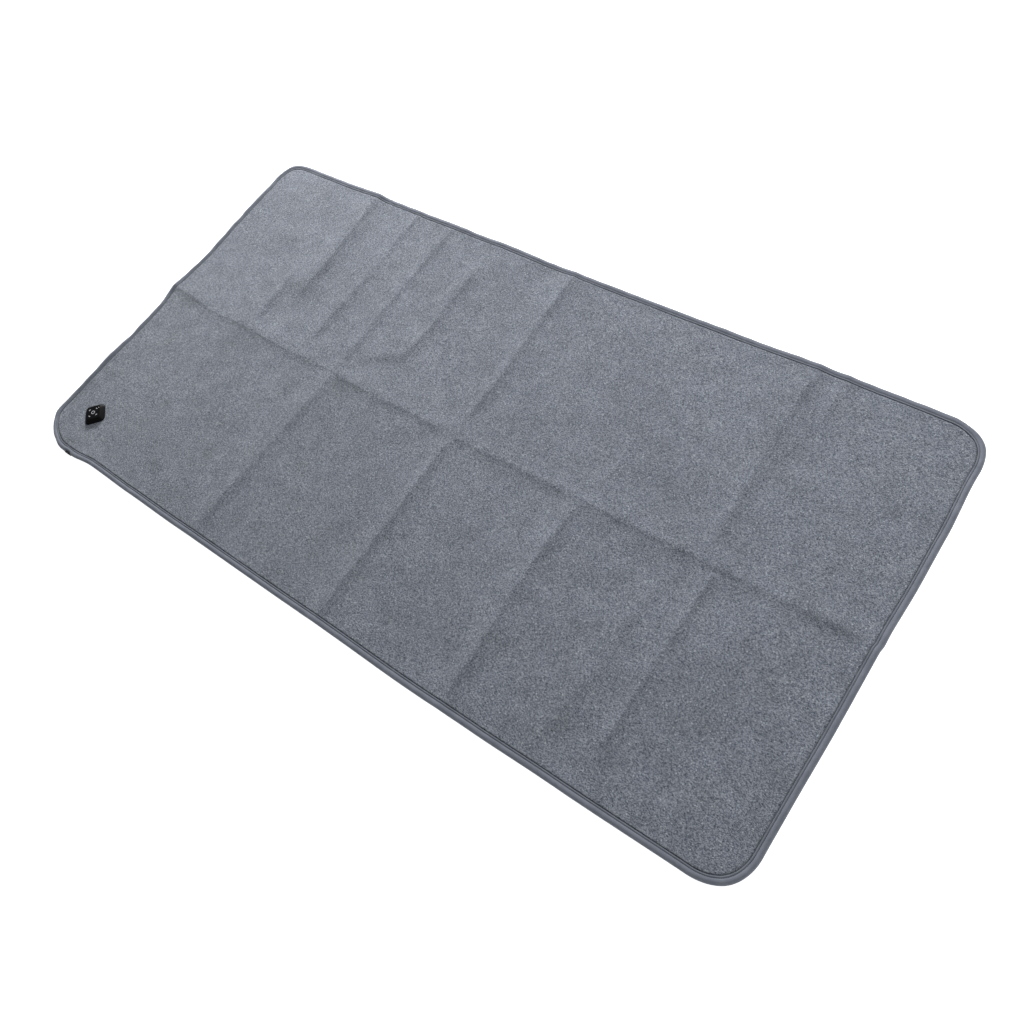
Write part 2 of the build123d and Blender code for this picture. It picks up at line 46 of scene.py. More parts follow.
# ---- Sizes that the CAD frame gives ----
rim_low, rim_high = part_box("edge_binding_near")
case_low, case_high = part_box("controller_base")
nose_low, nose_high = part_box("inlet_housing")
half_length = rim_high.x
half_width = -rim_low.y
felt_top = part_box("felt_face_near")[1].z
case_x = (case_low.x + case_high.x) / 2
case_y = (case_low.y + case_high.y) / 2
inlet_x = (nose_low.x + nose_high.x) / 2

# ---- Sizes of the soft pieces ----
CORNER = 85 * MM
FIELD_INSET = 40 * MM           # the even field starts this far inside the edge
TAPE_WIDTH = 14 * MM
SEAM_INSET = 11 * MM
NOTCH_WIDTH = 18.6 * MM
NOTCH_DEPTH = 3.2 * MM
BACKING_TOP = 1.6 * MM
PRESS_DOWN = 1.2 * MM           # how much of a rise the wadding takes up before the underside lifts
HARDWARE = ("temperature_sensor_near", "temperature_sensor_far", "sensor_leads_near", "sensor_lead_far",
            "thermal_cutout_near", "thermal_cutout_far", "output_leads", "power_leads", "output_crimps",
            "clamp_plate", "clamp_screws")
HARDWARE_HOLD = 7 * MM          # the underside stays down this far round the hardware in it
HARDWARE_EASE = 0.03            # and lifts again over this distance past that
HARDWARE_REACH = 0.05           # hardware further off than this makes no difference
HARDWARE_TAKES = 12 * MM        # taken up besides over hardware, so no rise reaches the underside
HIGHEST_RISE = 9 * MM
FOLD_HEADROOM = 6.2 * MM        # the highest rise along the fold, so that the folded faces clear
MORE_HEADROOM = 3 * MM          # how much higher it may be away from the fold
FIELD_DEEPENING = 0.55          # how much stronger a cross crease is in the field than at the edge
EDGE_FADE = 60 * MM
FOLD_HALF_STRIP = 0.012         # the least headroom holds this far to each side of the fold
HEADROOM_EASE = 0.05
CROWN_WAVE = 0.16               # how much a crease's height waves along it, as a share of the height
CROWN_WAVE_SPAN = 0.043         # that wave's length, over 2 pi
CROWN_WAVE_SHIFT = 9            # in radians for each metre of x
SWELL_SEED = 11
BROAD_SWELL = 1.2 * MM
FINE_SWELL = 0.42 * MM
EDGE_CURL = 1.5 * MM            # the edge lifts by this, dying away over CURL_REACH
CURL_REACH = 0.03
EDGE_RIPPLE = 0.5 * MM
RIPPLE_REACH = 0.012
CASE_FLAT = 0.037               # no rise this near the controller's middle
INLET_FLAT = 0.016              # or this near the inlet's
FLAT_EASE = 0.03                # past that it comes back over this distance

corner_x = half_length - CORNER
corner_y = half_width - CORNER


def smooth(t):
    t = np.clip(t, 0, 1)
    return t * t * (3 - 2 * t)


def eased(at, places, values):
    """Values given at a few places, with an easy curve from each to the next."""
    at = np.asarray(at, float)
    places, values = np.array(places), np.array(values)
    i = np.clip(np.searchsorted(places, at) - 1, 0, len(places) - 2)
    t = smooth((at - places[i]) / (places[i + 1] - places[i]))
    return values[i] + (values[i + 1] - values[i]) * t


# ---- Creases from storage ----
# Each is a ridge along its route, in millimetres from the middle of the blanket. On the left of the
# route the felt falls away gently over "lit", and on the right more steeply over "shaded".
LONG_CREASE = dict(
    route=[(-930, 13), (-760, 8), (-560, 3), (-340, 1), (0, -1), (310, 0), (540, 4), (740, 8), (930, 12)],
    height=5.6, lit=34, shaded=13, ends=(0, 0))
CROSS_CREASES = [
    # near half
    dict(route=[(-352, -490), (-352, -345), (-344, -150), (-338, 0)],
         height=3.2, lit=30, shaded=13, ends=(60, 10)),
    dict(route=[(14, -490), (11, -345), (6, -120), (4, 0)], height=4.4, lit=28, shaded=12, ends=(20, 8)),
    dict(route=[(326, -490), (320, -345), (311, -175), (314, 0)],
         height=4.6, lit=26, shaded=15, ends=(20, 8)),
    dict(route=[(252, -150), (247, -90), (236, -18)], height=1.8, lit=16, shaded=9, ends=(40, 12)),
    dict(route=[(604, -470), (602, -330), (602, -150), (604, -4)],
         height=3.0, lit=9, shaded=9, ends=(160, 10)),
    dict(route=[(498, -470), (512, -330), (528, -130), (534, -40)],
         height=3.4, lit=60, shaded=20, ends=(40, 90)),
    dict(route=[(-560, -330), (-556, -180), (-560, -30)], height=1.0, lit=30, shaded=14, ends=(90, 60)),
    dict(route=[(-34, -84), (2, -22)], height=2.0, lit=12, shaded=8, ends=(26, 14)),
    # far half
    dict(route=[(-622, 8), (-625, 110), (-630, 260)], height=3.0, lit=26, shaded=11, ends=(10, 90)),
    dict(route=[(-560, 120), (-570, 170), (-578, 300), (-586, 490)],
         height=6.2, lit=44, shaded=15, ends=(46, 30)),
    dict(route=[(-450, 20), (-449, 200), (-453, 490)], height=2.6, lit=34, shaded=9, ends=(60, 60)),
    dict(route=[(-338, 4), (-346, 150), (-348, 490)], height=2.8, lit=28, shaded=10, ends=(14, 90)),
    dict(route=[(-318, 40), (-268, 84), (-222, 106), (-214, 170), (-217, 300), (-218, 430)],
         height=3.0, lit=30, shaded=10, ends=(30, 90)),
    dict(route=[(4, 4), (6, 160), (0, 330), (-4, 490)], height=3.6, lit=24, shaded=11, ends=(10, 40)),
    dict(route=[(140, 150), (142, 230), (138, 330)], height=1.0, lit=20, shaded=12, ends=(60, 60)),
    dict(route=[(300, 18), (326, 52), (352, 116)], height=2.4, lit=20, shaded=9, ends=(14, 50)),
    dict(route=[(572, 12), (566, 150), (560, 300), (560, 490)], height=3.2, lit=40, shaded=16, ends=(10, 40)),
    dict(route=[(620, 300), (616, 380), (618, 490)], height=1.4, lit=14, shaded=10, ends=(60, 20)),
    dict(route=[(-800, 236), (-710, 262), (-620, 322)], height=2.6, lit=46, shaded=26, ends=(60, 50)),
    dict(route=[(-850, -300), (-846, -410)], height=1.2, lit=10, shaded=8, ends=(40, 40)),
    dict(route=[(-880, -446), (-846, -410)], height=1.4, lit=10, shaded=8, ends=(14, 16)),
]
CROWN = 4 * MM                  # how round a ridge's top is
JOINING = 2.6                   # how sharply one ridge takes over from another where they meet


def ridge(x, y, crease):
    """How far one crease lifts the felt."""
    route = np.array(crease["route"], float) * MM
    runs = np.hypot(*np.diff(route, axis=0).T)
    starts = np.concatenate([[0], np.cumsum(runs)])
    nearest = np.full(x.shape, 1e9)
    side = np.ones(x.shape)
    along = np.zeros(x.shape)
    for a, b, run, start in zip(route, route[1:], runs, starts):
        d = (b - a) / run
        px, py = x - a[0], y - a[1]
        s = np.clip(px * d[0] + py * d[1], 0, run)
        off = np.hypot(px - s * d[0], py - s * d[1])
        closer = off < nearest
        nearest = np.where(closer, off, nearest)
        side = np.where(closer, d[0] * py - d[1] * px, side)
        along = np.where(closer, start + s, along)
    reach = np.where(side > 0, crease["lit"], crease["shaded"]) * MM
    rise = crease["height"] * MM * np.exp(-(np.hypot(nearest, CROWN) - CROWN) / reach)
    first, last = (max(e, 0.01) * MM for e in crease["ends"])
    rise *= smooth(along / first) * smooth((starts[-1] - along) / last)
    # The wave along the ridge starts from the first point given, so it differs a little between pieces.
    wave = CROWN_WAVE * np.sin(along / CROWN_WAVE_SPAN + CROWN_WAVE_SHIFT * x[0])
    return rise * (1 + wave * smooth(along / 0.1))


def swell(draws, x, y, lengths, count):
    """Soft uneven waves, from -1 to 1 or so, with wavelengths between two lengths."""
    total = np.zeros(x.shape)
    for _ in range(count):
        turn = draws.uniform(0, 2 * pi)
        wave = 2 * pi / draws.uniform(*lengths)
        total += np.sin(wave * (x * cos(turn) + y * sin(turn)) + draws.uniform(0, 2 * pi))
    return total / np.sqrt(count)


def edge_distance(x, y):
    """How far a point of the open blanket is from its edge."""
    ax, ay = np.abs(x), np.abs(y)
    straight = np.minimum(half_length - ax, half_width - ay)
    round_ = CORNER - np.hypot(ax - corner_x, ay - corner_y)
    return np.where((ax > corner_x) & (ay > corner_y), round_, straight)


def rise_of(x, y):
    """How far the felt stands above its flat place. It is flat under the controller and at the inlet."""
    draws = np.random.default_rng(SWELL_SEED)
    power = ridge(x, y, LONG_CREASE) ** JOINING
    away_from_edge = 1 + FIELD_DEEPENING * smooth(edge_distance(x, y) / EDGE_FADE)
    for crease in CROSS_CREASES:
        power += (away_from_edge * ridge(x, y, crease)) ** JOINING
    rise = power ** (1 / JOINING)
    broad = swell(draws, x, y, (0.22, 0.5), 9)
    rise += BROAD_SWELL * np.clip(broad + 0.5, 0, 3)
    rise += FINE_SWELL * swell(draws, x, y, (0.05, 0.11), 12)
    inset = edge_distance(x, y)
    curl = swell(draws, x, y, (0.14, 0.34), 9)
    rise += EDGE_CURL * np.clip(curl + 0.2, 0, 3) * np.exp(-np.clip(inset, 0, 1) / CURL_REACH)
    ripple = swell(draws, x, y, (0.03, 0.06), 8)
    rise += EDGE_RIPPLE * ripple * np.exp(-np.clip(inset, 0, 1) / RIPPLE_REACH)
    rise = np.clip(rise, 0, HIGHEST_RISE)
    headroom = FOLD_HEADROOM + MORE_HEADROOM * smooth((np.abs(y) - FOLD_HALF_STRIP) / HEADROOM_EASE)
    rise = np.minimum(rise, headroom)
    rise *= smooth((np.hypot(x - case_x, y - case_y) - CASE_FLAT) / FLAT_EASE)
    rise *= smooth((np.hypot(x - inlet_x, y + half_width) - INLET_FLAT) / FLAT_EASE)
    return rise


def plan_of(names):
    """Where the named pieces are, seen from above."""
    points, faces = [], []
    for name in names:
        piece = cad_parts[name]
        first = len(points)
        for vertex in piece.data.vertices:
            place = piece.matrix_world @ vertex.co
            points.append((place.x, place.y, 0))
        faces += [[first + i for i in polygon.vertices] for polygon in piece.data.polygons]
    return BVHTree.FromPolygons(points, faces)


hardware_plan = plan_of(HARDWARE)


def taken_up(x, y):
    """How much of a rise the wadding takes up: all of it where the hardware lies."""
    away = np.full(x.shape, HARDWARE_REACH)
    for i, place in enumerate(zip(x.tolist(), y.tolist())):
        found = hardware_plan.find_nearest((*place, 0), HARDWARE_REACH)
        if found[0] is not None:
            away[i] = found[3]
    return PRESS_DOWN + HARDWARE_TAKES * (1 - smooth((away - HARDWARE_HOLD) / HARDWARE_EASE))


# How far each side stands out from a straight line, in millimetres, at places along it.
NEAR_SIDE = (
    [-900, -840, -806, -766, -700, -560, -400, 0, 250, 400, 560, 900],
    [-9, -7, -1, -1, -7, -4, -2, 0, 3, 1.5, -1, -6])
FAR_SIDE = (
    [-900, -560, -400, -300, -200, -90, 200, 400, 600, 780, 900],
    [2, 1, 0, -1, 1, -2.5, -0.5, 0.5, 3, 1.5, -3])
LEFT_SIDE = (
    [-465, -370, -260, -140, -60, 4, 60, 120, 250, 340, 465],
    [6, 4.5, 0.5, -3, -2.5, 4.2, 1.5, -3, -1, 1.5, 0])
RIGHT_SIDE = (
    [-465, -280, -160, 0, 14, 40, 130, 240, 370, 465],
    [0, 0, 1, 0, 1.6, 1, 2.5, 1.5, -4, -5])
# How far each corner is pulled out of its even round, in millimetres, with the reach of the pull.
CORNER_PULLS = [(-1, 1, -12, 12, 42), (-1, -1, -3, 8, 42), (1, 1, 6, 3, 40), (1, -1, 2, -3, 40)]
SIDE_HOLD = 0.11                # how deep into the blanket a side's wave reaches


def drape(points):
    """Moves points of the flat, straight-edged blanket to where the cloth lies."""
    x, y, z = np.array(points, float).T
    inset = edge_distance(x, y)
    notch = (np.abs(x - inlet_x) < NOTCH_WIDTH / 2) & (y < 0) & (inset < TAPE_WIDTH)
    y = y + np.where(notch, NOTCH_DEPTH * (1 - inset / TAPE_WIDTH), 0)
    rise = rise_of(x, y)
    taken = np.minimum(rise, taken_up(x, y)) * (1 - np.clip(z / felt_top, 0, 1))
    from_far, from_near = half_width - y, half_width + y
    from_right, from_left = half_length - x, half_length + x
    dx = eased(y / MM, *RIGHT_SIDE) * np.exp(-from_right / SIDE_HOLD)
    dx -= eased(y / MM, *LEFT_SIDE) * np.exp(-from_left / SIDE_HOLD)
    dy = eased(x / MM, *FAR_SIDE) * np.exp(-from_far / SIDE_HOLD)
    dy -= eased(x / MM, *NEAR_SIDE) * np.exp(-from_near / SIDE_HOLD)
    for sx, sy, pull_x, pull_y, reach in CORNER_PULLS:
        middle = CORNER * cos(pi / 4)
        away = np.hypot(x - sx * (corner_x + middle), y - sy * (corner_y + middle))
        share = np.exp(-(away / (reach * MM)) ** 2)
        dx += pull_x * share
        dy += pull_y * share
    hold = smooth((np.hypot(x - case_x, y - case_y) - 0.03) / 0.04)
    return np.stack([x + dx * MM * hold, y + dy * MM * hold, z + rise - taken], axis=1)


# ---- Mesh makers ----
def add_piece(name, points, faces, material):
    mesh = bpy.data.meshes.new(name)
    mesh.from_pydata([tuple(p) for p in points], [], faces)
    mesh.materials.append(material)
    for polygon in mesh.polygons:
        polygon.use_smooth = True
    mesh.update()
    piece = bpy.data.objects.new(name, mesh)
    bpy.context.scene.collection.objects.link(piece)
    return piece


def spaced(stops, coarse, fine, fine_at, reach):
    """Places between the first and last stop, through each stop, closer together near fine_at."""
    places = [np.array([stops[0]])]
    for a, b in zip(stops, stops[1:]):
        at = np.linspace(a, b, 400)
        near = np.min(np.abs(at[:, None] - np.array(fine_at)[None, :]), axis=1)
        step = coarse - (coarse - fine) * np.exp(-(near / reach) ** 2)
        passed = np.concatenate([[0], np.cumsum((1 / step[1:] + 1 / step[:-1]) / 2 * np.diff(at))])
        count = max(1, int(np.ceil(passed[-1])))
        places.append(np.interp(np.linspace(0, passed[-1], count + 1)[1:], passed, at))
    return np.concatenate(places)


def into_corner(x, y):
    """Turns the square corners of an even field round."""
    round_ = CORNER - FIELD_INSET
    a = np.clip(np.abs(x) - corner_x, 0, None) / round_
    b = np.clip(np.abs(y) - corner_y, 0, None) / round_
    length = np.maximum(np.hypot(a, b), 1e-12)
    pull = np.where((a > 0) & (b > 0), np.maximum(a, b) / length, 1)
    inside = (a > 0) & (b > 0)
    new_x = np.where(inside, np.sign(x) * (corner_x + a * pull * round_), x)
    new_y = np.where(inside, np.sign(y) * (corner_y + b * pull * round_), y)
    return new_x, new_y


def layer(name, xs, ys, top, bottom, rim, material):
    """A closed layer of the blanket: two even fields, joined round the edge by loops at the insets and
    heights in rim."""
    nx, ny = len(xs), len(ys)
    gx, gy = (g.ravel() for g in np.meshgrid(xs, ys))
    gx, gy = into_corner(gx, gy)
    at = np.arange(nx * ny).reshape(ny, nx)
    loop = np.concatenate([at[0, :-1], at[:-1, -1], at[-1, :0:-1], at[:0:-1, 0]])
    out_x = np.clip(gx[loop], -corner_x, corner_x)
    out_y = np.clip(gy[loop], -corner_y, corner_y)
    away = np.stack([gx[loop] - out_x, gy[loop] - out_y], axis=1)
    away /= np.hypot(*away.T)[:, None]
    points = [np.stack([gx, gy, np.full(nx * ny, top)], axis=1)]
    count = nx * ny
    loops = [loop]
    for inset, height in rim:
        reach = FIELD_INSET - inset * MM
        ring = np.stack([gx[loop] + away[:, 0] * reach, gy[loop] + away[:, 1] * reach,
                         np.full(len(loop), height * MM)], axis=1)
        points.append(ring)
        loops.append(np.arange(count, count + len(loop)))
        count += len(loop)
    points.append(np.stack([gx, gy, np.full(nx * ny, bottom)], axis=1))
    loops.append(loop + count)
    corners = np.stack([at[:-1, :-1], at[:-1, 1:], at[1:, 1:], at[1:, :-1]], axis=-1).reshape(-1, 4)
    faces = [corners, corners[:, ::-1] + count]
    for inner, outer in zip(loops, loops[1:]):
        faces.append(np.stack([inner, outer, np.roll(outer, -1), np.roll(inner, -1)], axis=1))
    return add_piece(name, drape(np.concatenate(points)), np.concatenate(faces).tolist(), material)


def edge_route(step, fine_at_x=(), fine=None):
    """Points round the edge and the way out at each, anticlockwise from the near side's left."""
    fine = fine or step
    reach = 12 * MM
    marks = [-corner_x, inlet_x - NOTCH_WIDTH / 2 - 0.4 * MM, inlet_x - NOTCH_WIDTH / 2 + 0.1 * MM,
             inlet_x + NOTCH_WIDTH / 2 - 0.1 * MM, inlet_x + NOTCH_WIDTH / 2 + 0.4 * MM, corner_x]
    near = spaced(marks, step, fine, [inlet_x, *fine_at_x], reach)
    far = spaced([-corner_x, corner_x], step, fine, list(fine_at_x) or [0], reach)
    end = spaced([-corner_y, 0, corner_y], step, fine, [0], 20 * MM)
    turn = np.linspace(0, pi / 2, int(CORNER * pi / 2 / step) + 1)[1:-1]
    points, away = [], []

    def straight(xs, ys, out):
        for x, y in zip(xs, ys):
            points.append((x, y))
            away.append(out)

    def corner(sx, sy, start):
        for t in turn + start:
            points.append((sx * corner_x + CORNER * cos(t), sy * corner_y + CORNER * sin(t)))
            away.append((cos(t), sin(t)))

    straight(near, np.full(len(near), -half_width), (0, -1))
    corner(1, -1, -pi / 2)
    straight(np.full(len(end), half_length), end, (1, 0))
    corner(1, 1, 0)
    straight(far[::-1], np.full(len(far), half_width), (0, 1))
    corner(-1, 1, pi / 2)
    straight(np.full(len(end), -half_length), end[::-1], (-1, 0))
    corner(-1, -1, pi)
    return np.array(points), np.array(away)


# ---- Shader helpers ----
def new_material(name, colour=(0.5, 0.5, 0.5), roughness=0.5, **sockets):
    material = bpy.data.materials.new(name)
    material.use_nodes = True
    shader = material.node_tree.nodes["Principled BSDF"]
    shader.inputs["Base Color"].default_value = (*colour, 1)
    shader.inputs["Roughness"].default_value = roughness
    for socket, value in sockets.items():
        shader.inputs[socket.replace("_", " ")].default_value = value
    return material, material.node_tree, shader


def node(tree, kind, **settings):
    made = tree.nodes.new(kind)
    for key, value in settings.items():
        if hasattr(made, key):
            setattr(made, key, value)
        else:
            made.inputs[key.replace("_", " ")].default_value = value
    return made


def join(tree, source, target):
    tree.links.new(source, target)


def noise(tree, where, scale, detail=3, roughness=0.6, distortion=0.0):
    made = node(tree, "ShaderNodeTexNoise", Scale=scale, Detail=detail, Roughness=roughness,
                Distortion=distortion)
    join(tree, where, made.inputs["Vector"])
    return made.outputs["Fac"]


def math(tree, kind, a, b=None):
    made = node(tree, "ShaderNodeMath", operation=kind)
    for socket, value in zip(made.inputs, (a, b)):
        if isinstance(value, (int, float)):
            socket.default_value = value
        elif value is not None:
            join(tree, value, socket)
    return made.outputs[0]


def spread(tree, value, low, high, out_low=0.0, out_high=1.0):
    """Stretches a value's range from low and high to out_low and out_high."""
    made = node(tree, "ShaderNodeMapRange")
    for socket, number in zip(("From Min", "From Max", "To Min", "To Max"), (low, high, out_low, out_high)):
        made.inputs[socket].default_value = number
    join(tree, value, made.inputs["Value"])
    return made.outputs["Result"]


def blend_colour(tree, kind, amount, a, b):
    made = node(tree, "ShaderNodeMix", data_type="RGBA", blend_type=kind)
    for socket, value in ((made.inputs[0], amount), (made.inputs[6], a), (made.inputs[7], b)):
        if isinstance(value, (int, float)):
            socket.default_value = value
        elif isinstance(value, tuple):
            socket.default_value = (*value, 1)
        else:
            join(tree, value, socket)
    return made.outputs[2]


def new_group(name, inputs, outputs):
    group = bpy.data.node_groups.new(name, "ShaderNodeTree")
    for label, kind, value in inputs:
        socket = group.interface.new_socket(name=label, in_out="INPUT", socket_type=kind)
        if value is not None:
            socket.default_value = value
    for label, kind in outputs:
        group.interface.new_socket(name=label, in_out="OUTPUT", socket_type=kind)
    return group, group.nodes.new("NodeGroupInput").outputs, group.nodes.new("NodeGroupOutput").inputs


def place_group(tree, group, **values):
    made = tree.nodes.new("ShaderNodeGroup")
    made.node_tree = group
    for key, value in values.items():
        socket = made.inputs[key.replace("_", " ")]
        if isinstance(value, bpy.types.NodeSocket):
            join(tree, value, socket)
        elif isinstance(value, tuple):
            socket.default_value = (*value, 1)
        else:
            socket.default_value = value
    return made.outputs


def bump(tree, height, distance, strength, normal=None):
    made = node(tree, "ShaderNodeBump", Strength=strength, Distance=distance)
    join(tree, height, made.inputs["Height"])
    if normal is not None:
        join(tree, normal, made.inputs["Normal"])
    return made.outputs["Normal"]


FLOAT, COLOUR, VECTOR = "NodeSocketFloat", "NodeSocketColor", "NodeSocketVector"


def make_fibre_group():
    """Short curled fibres of two shades, with a height for bump. Size is a fibre's own, in metres."""
    group, gin, gout = new_group(
        "curled fibres",
        [("Vector", VECTOR, None), ("Fibre size", FLOAT, 0.002), ("Contrast", FLOAT, 0.5),
         ("Dark", COLOUR, (0.1, 0.1, 0.1, 1)), ("Light", COLOUR, (0.5, 0.5, 0.5, 1))],
        [("Color", COLOUR), ("Height", FLOAT)])
    per_metre = math(group, "DIVIDE", 1.0, gin["Fibre size"])
    bend = node(group, "ShaderNodeTexNoise", Detail=2.0, Roughness=0.6)
    join(group, gin["Vector"], bend.inputs["Vector"])
    join(group, math(group, "MULTIPLY", per_metre, 0.45), bend.inputs["Scale"])
    pushed = node(group, "ShaderNodeVectorMath", operation="MULTIPLY_ADD")
    reach = node(group, "ShaderNodeVectorMath", operation="SCALE")
    join(group, gin["Fibre size"], reach.inputs["Scale"])
    reach.inputs[0].default_value = (1.6, 1.6, 1.6)
    join(group, bend.outputs["Color"], pushed.inputs[0])
    join(group, reach.outputs[0], pushed.inputs[1])
    join(group, gin["Vector"], pushed.inputs[2])
    strands = []
    for turn, squeeze in ((0.5, 0.55), (1.7, 0.6), (2.7, 0.5)):
        lie = node(group, "ShaderNodeMapping")
        lie.inputs["Rotation"].default_value = (0.0, 0.0, turn)
        lie.inputs["Scale"].default_value = (squeeze, 1.0, 1.0)
        join(group, pushed.outputs[0], lie.inputs["Vector"])
        strand = node(group, "ShaderNodeTexNoise", Detail=2.0, Roughness=0.55)
        join(group, lie.outputs[0], strand.inputs["Vector"])
        join(group, per_metre, strand.inputs["Scale"])
        strands.append(strand.outputs["Fac"])
    height = math(group, "MAXIMUM", math(group, "MAXIMUM", strands[0], strands[1]), strands[2])
    tone = math(group, "SUBTRACT", height, 0.585)
    tone = math(group, "MULTIPLY", tone, math(group, "MULTIPLY", gin["Contrast"], 9.0))
    tone = math(group, "ADD", tone, 0.5)
    tone = spread(group, tone, 0.0, 1.0)
    colour = node(group, "ShaderNodeMix", data_type="RGBA")
    join(group, tone, colour.inputs[0])
    join(group, gin["Dark"], colour.inputs[6])
    join(group, gin["Light"], colour.inputs[7])
    join(group, colour.outputs[2], gout["Color"])
    join(group, height, gout["Height"])
    return group


def make_weave_group():
    """Fine ribs crossed by finer yarns, on a surface laid out in metres, with a mask of the low places
    between the yarns that is used for painted shade.
    """
    group, gin, gout = new_group(
        "ribbed weave",
        [("Vector", VECTOR, None), ("Rib pitch", FLOAT, 0.0009), ("Yarn pitch", FLOAT, 0.0006)],
        [("Height", FLOAT), ("Gap shade", FLOAT)])
    parts = node(group, "ShaderNodeSeparateXYZ")
    join(group, gin["Vector"], parts.inputs[0])
    waver = noise(group, gin["Vector"], 260, 2, 0.5)
    waver = math(group, "MULTIPLY", waver, 1.6)
    heights = []
    for along, pitch in ((parts.outputs["X"], gin["Rib pitch"]), (parts.outputs["Y"], gin["Yarn pitch"])):
        turns = math(group, "MULTIPLY", math(group, "DIVIDE", along, pitch), 2 * pi)
        heights.append(math(group, "SINE", math(group, "ADD", turns, waver)))
    crossed = math(group, "MULTIPLY", heights[0], heights[1])
    ribs = math(group, "MULTIPLY", heights[0], 0.6)
    height = math(group, "ADD", ribs, math(group, "MULTIPLY", crossed, 0.4))
    height = spread(group, height, -1.0, 1.0)
    join(group, height, gout["Height"])
    # Gap shade is 1 where the weave is lowest: a mask for painted shade between the yarns.
    join(group, spread(group, height, 0.0, 0.3, 1.0, 0.0), gout["Gap shade"])
    return group


def make_grain_group():
    """Moulded plastic: a fine spark-eroded grain, and the soft patches that handling leaves."""
    group, gin, gout = new_group(
        "moulded grain",
        [("Vector", VECTOR, None), ("Grain size", FLOAT, 0.0004), ("Roughness", FLOAT, 0.45),
         ("Wear", FLOAT, 0.08)],
        [("Height", FLOAT), ("Roughness", FLOAT), ("Patches", FLOAT)])
    per_metre = math(group, "DIVIDE", 1.0, gin["Grain size"])
    grain = node(group, "ShaderNodeTexNoise", Detail=3.0, Roughness=0.7)
    join(group, gin["Vector"], grain.inputs["Vector"])
    join(group, per_metre, grain.inputs["Scale"])
    patches = noise(group, gin["Vector"], 120, 4, 0.65)
    shift = math(group, "MULTIPLY", math(group, "SUBTRACT", patches, 0.5), gin["Wear"])
    join(group, grain.outputs["Fac"], gout["Height"])
    join(group, math(group, "ADD", gin["Roughness"], shift), gout["Roughness"])
    join(group, patches, gout["Patches"])
    return group


FIBRES = make_fibre_group()
WEAVE = make_weave_group()
GRAIN = make_grain_group()


# ---- Materials ----
def heather_felt():
    material, tree, shader = new_material("heather felt", (0.21, 0.225, 0.25), 0.93, Sheen_Weight=0.25,
                                          Sheen_Roughness=0.6, Specular_IOR_Level=0.2)
    where = node(tree, "ShaderNodeTexCoord").outputs["Object"]
    coarse = place_group(tree, FIBRES, Vector=where, Fibre_size=0.0021, Contrast=2.2,
                         Dark=(0.088, 0.103, 0.139), Light=(0.345, 0.372, 0.424))
    fine = place_group(tree, FIBRES, Vector=where, Fibre_size=0.0013, Contrast=1.8,
                       Dark=(0.072, 0.086, 0.117), Light=(0.405, 0.434, 0.487))
    colour = blend_colour(tree, "MIX", 0.4, coarse["Color"], fine["Color"])
    mottle = spread(tree, noise(tree, where, 26, 4, 0.65), 0.3, 0.7, 0.88, 1.12)
    clouds = spread(tree, noise(tree, where, 5, 3, 0.5), 0.3, 0.7, 0.92, 1.08)
    shade = math(tree, "MULTIPLY", mottle, clouds)
    tone = node(tree, "ShaderNodeCombineColor")
    for channel in tone.inputs:
        join(tree, shade, channel)
    colour = blend_colour(tree, "MULTIPLY", 1.0, colour, tone.outputs[0])
    warmth = spread(tree, noise(tree, where, 11, 3, 0.6), 0.45, 0.72)
    colour = blend_colour(tree, "MULTIPLY", warmth, colour, (1.0, 0.995, 0.975))
    cells = node(tree, "ShaderNodeTexVoronoi", Scale=230.0, Randomness=1.0)
    join(tree, where, cells.inputs["Vector"])
    pick = node(tree, "ShaderNodeSeparateColor")
    join(tree, cells.outputs["Color"], pick.inputs[0])
    for channel, share, reach, hue in (("Red", 0.13, 0.42, (0.045, 0.053, 0.072)),
                                       ("Green", 0.13, 0.36, (0.5, 0.53, 0.58))):
        chosen = math(tree, "LESS_THAN", pick.outputs[channel], share)
        close = spread(tree, cells.outputs["Distance"], reach, reach * 0.4)
        colour = blend_colour(tree, "MIX", math(tree, "MULTIPLY", chosen, close), colour, hue)
    join(tree, colour, shader.inputs["Base Color"])
    normal = bump(tree, coarse["Height"], 0.0024, 0.75)
    normal = bump(tree, fine["Height"], 0.0012, 0.75, normal)
    join(tree, normal, shader.inputs["Normal"])
    return material


def backing_cloth():
    material, tree, shader = new_material("brushed backing cloth", (0.1, 0.11, 0.125), 0.9,
                                          Sheen_Weight=0.15, Specular_IOR_Level=0.2)
    where = node(tree, "ShaderNodeTexCoord").outputs["Object"]
    nap = place_group(tree, FIBRES, Vector=where, Fibre_size=0.002, Contrast=0.6,
                      Dark=(0.07, 0.078, 0.095), Light=(0.15, 0.16, 0.185))
    weave = place_group(tree, WEAVE, Vector=where, Rib_pitch=0.0022, Yarn_pitch=0.0018)
    # Painted shade: the colour is darkened between the yarns.
    colour = blend_colour(tree, "MULTIPLY", math(tree, "MULTIPLY", weave["Gap shade"], 0.35), nap["Color"],
                          (0.55, 0.56, 0.6))
    mottle = spread(tree, noise(tree, where, 14, 4, 0.6), 0.3, 0.7)
    colour = blend_colour(tree, "MULTIPLY", math(tree, "MULTIPLY", mottle, 0.25), colour, (0.82, 0.83, 0.85))
    join(tree, colour, shader.inputs["Base Color"])
    normal = bump(tree, weave["Height"], 0.0005, 0.5)
    normal = bump(tree, nap["Height"], 0.0009, 0.4, normal)
    join(tree, normal, shader.inputs["Normal"])
    return material


